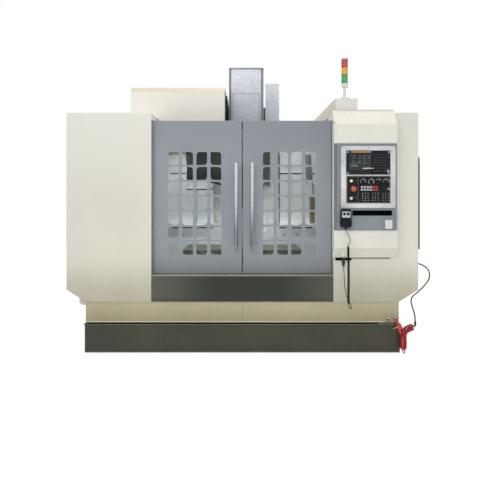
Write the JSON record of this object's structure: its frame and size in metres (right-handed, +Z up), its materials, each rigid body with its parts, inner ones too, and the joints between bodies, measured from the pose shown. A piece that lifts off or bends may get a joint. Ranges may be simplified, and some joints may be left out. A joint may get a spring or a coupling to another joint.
{
  "type": "vertical machining centre",
  "caption": "Enclosed vertical machining centre with sliding windowed doors, a T-slot table, a spindle head, a disc tool magazine with a swing arm and a control pendant.",
  "frame": {"origin": "on the floor at the middle of the machine's footprint", "axes": "+X to the right of someone facing the doors, +Y towards the back, +Z up"},
  "size_m": [3.3585, 2.7333, 2.765],
  "materials": {
    "guard_cream": "satin",
    "door_grey": "satin",
    "sill_dark": "satin",
    "tank_dark": "satin",
    "inner_sheet": "satin",
    "casting": "painted",
    "casting_dark": "painted",
    "table_iron": "ground",
    "cover_steel": "brushed",
    "cover_silver": "satin",
    "bezel_silver": "anodised",
    "panel_grey": "satin",
    "unit_black": "matt",
    "knob_black": "gloss",
    "button_white": "gloss",
    "button_red": "gloss",
    "glass_pane": "clear",
    "stainless": "polished",
    "tower_plastic": "gloss",
    "pot_plastic": "matt",
    "rubber_black": "matt",
    "hose_red": "gloss",
    "tube_brown": "gloss",
    "lube_plastic": "translucent",
    "machined": "ground",
    "apron_cream": "satin",
    "magazine_white": "satin",
    "duct_grey": "satin"
  },
  "bodies": {
    "machine": {"bed": "casting", "column": "casting", "coolant_tank": "tank_dark", "left_cabinet": "guard_cream", "right_cabinet": "guard_cream", "front_apron": "apron_cream", "door_frame": "sill_dark", "inner_walls": "inner_sheet", "magazine_cover": "magazine_white", "magazine_frame": "casting_dark", "pendant_housing": "guard_cream", "pendant_panel": "panel_grey", "panel_bezel": "bezel_silver", "control_units": "unit_black", "cable_raceway": "guard_cream", "signal_tower": "tower_plastic", "electrical_cabinet": "guard_cream", "lubricator": "lube_plastic", "chain_housing": "duct_grey", "mpg_body": "knob_black", "mpg_cable": "rubber_black", "mpg_coil": "rubber_black", "air_gun": "hose_red", "air_tube": "tube_brown", "air_coil": "hose_red"},
    "left_door": {"left_door": "door_grey", "left_window": "glass_pane", "left_handle": "stainless"},
    "right_door": {"right_door": "door_grey", "right_window": "glass_pane", "right_handle": "stainless"},
    "saddle": {"saddle": "casting", "y_covers": "cover_steel"},
    "y_cover_a": {"y_mid_cover_a": "cover_steel"},
    "y_cover_b": {"y_mid_cover_b": "cover_steel"},
    "table": {"table": "table_iron", "x_covers": "cover_steel"},
    "x_cover_mid": {"x_mid_covers": "cover_steel"},
    "z_cover_mid": {"z_mid_cover": "inner_sheet"},
    "head": {"spindle_head": "casting_dark", "head_cover": "cover_silver", "coolant_nozzles": "rubber_black"},
    "spindle": {"spindle": "machined"},
    "magazine": {"tool_magazine": "pot_plastic"},
    "pot": {"changing_pot": "pot_plastic"},
    "arm_shaft": {"arm_shaft": "machined"},
    "tool_arm": {"tool_arm": "machined"},
    "e_stop": {"e_stop": "button_red"},
    "power_button": {"power_button": "button_white"},
    "start_button": {"start_button": "button_white"},
    "mode_knob": {"mode_knob": "knob_black"},
    "feed_knob": {"feed_knob": "knob_black"},
    "rapid_knob": {"rapid_knob": "knob_black"},
    "spindle_speed_knob": {"spindle_speed_knob": "knob_black"},
    "mpg_dial": {"mpg_dial": "knob_black"},
    "mpg_axis_knob": {"mpg_axis_knob": "knob_black"},
    "mpg_range_knob": {"mpg_range_knob": "knob_black"},
    "cabinet_door": {"cabinet_door": "guard_cream"},
    "main_switch": {"main_switch": "button_red"}
  },
  "joints": [
    {"name": "left_door_slide", "type": "slide", "parent": "machine", "child": "left_door", "axis": [-1, 0, 0], "range_m": [0, 0.7]},
    {"name": "right_door_slide", "type": "slide", "parent": "machine", "child": "right_door", "axis": [1, 0, 0], "range_m": [0, 0.7]},
    {"name": "y_axis", "type": "slide", "parent": "machine", "child": "saddle", "axis": [0, 1, 0], "range_m": [-0.3, 0.3]},
    {"name": "y_cover_a_slide", "type": "slide", "parent": "machine", "child": "y_cover_a", "axis": [0, 1, 0], "range_m": [-0.1001, 0.1001]},
    {"name": "y_cover_b_slide", "type": "slide", "parent": "machine", "child": "y_cover_b", "axis": [0, 1, 0], "range_m": [-0.2001, 0.2001]},
    {"name": "x_axis", "type": "slide", "parent": "saddle", "child": "table", "axis": [1, 0, 0], "range_m": [-0.51, 0.59]},
    {"name": "x_cover_slide", "type": "slide", "parent": "saddle", "child": "x_cover_mid", "axis": [1, 0, 0], "range_m": [-0.256, 0.296]},
    {"name": "z_axis", "type": "slide", "parent": "machine", "child": "head", "axis": [0, 0, 1], "range_m": [-0.6, 0]},
    {"name": "z_cover_slide", "type": "slide", "parent": "machine", "child": "z_cover_mid", "axis": [0, 0, 1], "range_m": [-0.3001, 0.0001]},
    {"name": "spindle_spin", "type": "hinge", "parent": "head", "child": "spindle", "pos_m": [0.04, -0.33, 1.65], "axis": [0, 0, 1], "continuous": true},
    {"name": "magazine_spin", "type": "hinge", "parent": "machine", "child": "magazine", "pos_m": [-0.44, -0.33, 2.12], "axis": [1, 0, 0], "continuous": true},
    {"name": "pot_tilt", "type": "hinge", "parent": "magazine", "child": "pot", "pos_m": [-0.47, -0.33, 1.755], "axis": [0, 1, 0], "range_deg": [-90, 0]},
    {"name": "arm_lift", "type": "slide", "parent": "machine", "child": "arm_shaft", "axis": [0, 0, 1], "range_m": [-0.115, 0]},
    {"name": "arm_swing", "type": "hinge", "parent": "arm_shaft", "child": "tool_arm", "pos_m": [-0.235, -0.33, 1.6], "axis": [0, 0, 1], "range_deg": [0, 270]},
    {"name": "e_stop_push", "type": "slide", "parent": "machine", "child": "e_stop", "axis": [0, 1, 0], "range_m": [0, 0.006]},
    {"name": "power_push", "type": "slide", "parent": "machine", "child": "power_button", "axis": [0, 1, 0], "range_m": [0, 0.004], "stiffness_N_per_m": 400},
    {"name": "start_push", "type": "slide", "parent": "machine", "child": "start_button", "axis": [0, 1, 0], "range_m": [0, 0.004], "stiffness_N_per_m": 400},
    {"name": "mode_turn", "type": "hinge", "parent": "machine", "child": "mode_knob", "pos_m": [1.073, -1.3, 1.561], "axis": [0, 1, 0], "range_deg": [-120, 120]},
    {"name": "feed_turn", "type": "hinge", "parent": "machine", "child": "feed_knob", "pos_m": [1.144, -1.3, 1.561], "axis": [0, 1, 0], "range_deg": [-140, 140]},
    {"name": "rapid_turn", "type": "hinge", "parent": "machine", "child": "rapid_knob", "pos_m": [1.21, -1.3, 1.561], "axis": [0, 1, 0], "range_deg": [-60, 60]},
    {"name": "spindle_speed_turn", "type": "hinge", "parent": "machine", "child": "spindle_speed_knob", "pos_m": [1.276, -1.3, 1.561], "axis": [0, 1, 0], "range_deg": [-75, 75]},
    {"name": "dial_spin", "type": "hinge", "parent": "machine", "child": "mpg_dial", "pos_m": [0.912, -1.35, 1.201], "axis": [0, 1, 0], "continuous": true},
    {"name": "axis_select", "type": "hinge", "parent": "machine", "child": "mpg_axis_knob", "pos_m": [0.895, -1.35, 1.275], "axis": [0, 1, 0], "range_deg": [-75, 75]},
    {"name": "range_select", "type": "hinge", "parent": "machine", "child": "mpg_range_knob", "pos_m": [0.929, -1.35, 1.275], "axis": [0, 1, 0], "range_deg": [-45, 45]},
    {"name": "cabinet_door_hinge", "type": "hinge", "parent": "machine", "child": "cabinet_door", "pos_m": [-0.566, 1.325, 1.3], "axis": [0, 0, 1], "range_deg": [0, 110]},
    {"name": "main_switch_turn", "type": "hinge", "parent": "cabinet_door", "child": "main_switch", "pos_m": [0.49, 1.34, 1.76], "axis": [0, 1, 0], "range_deg": [0, 90]}
  ],
  "couplings": [
    {"joint": "y_cover_a_slide", "follows": "y_axis", "ratio": 0.33333},
    {"joint": "y_cover_b_slide", "follows": "y_axis", "ratio": 0.66667},
    {"joint": "x_cover_slide", "follows": "x_axis", "ratio": 0.5},
    {"joint": "z_cover_slide", "follows": "z_axis", "ratio": 0.5}
  ]
}
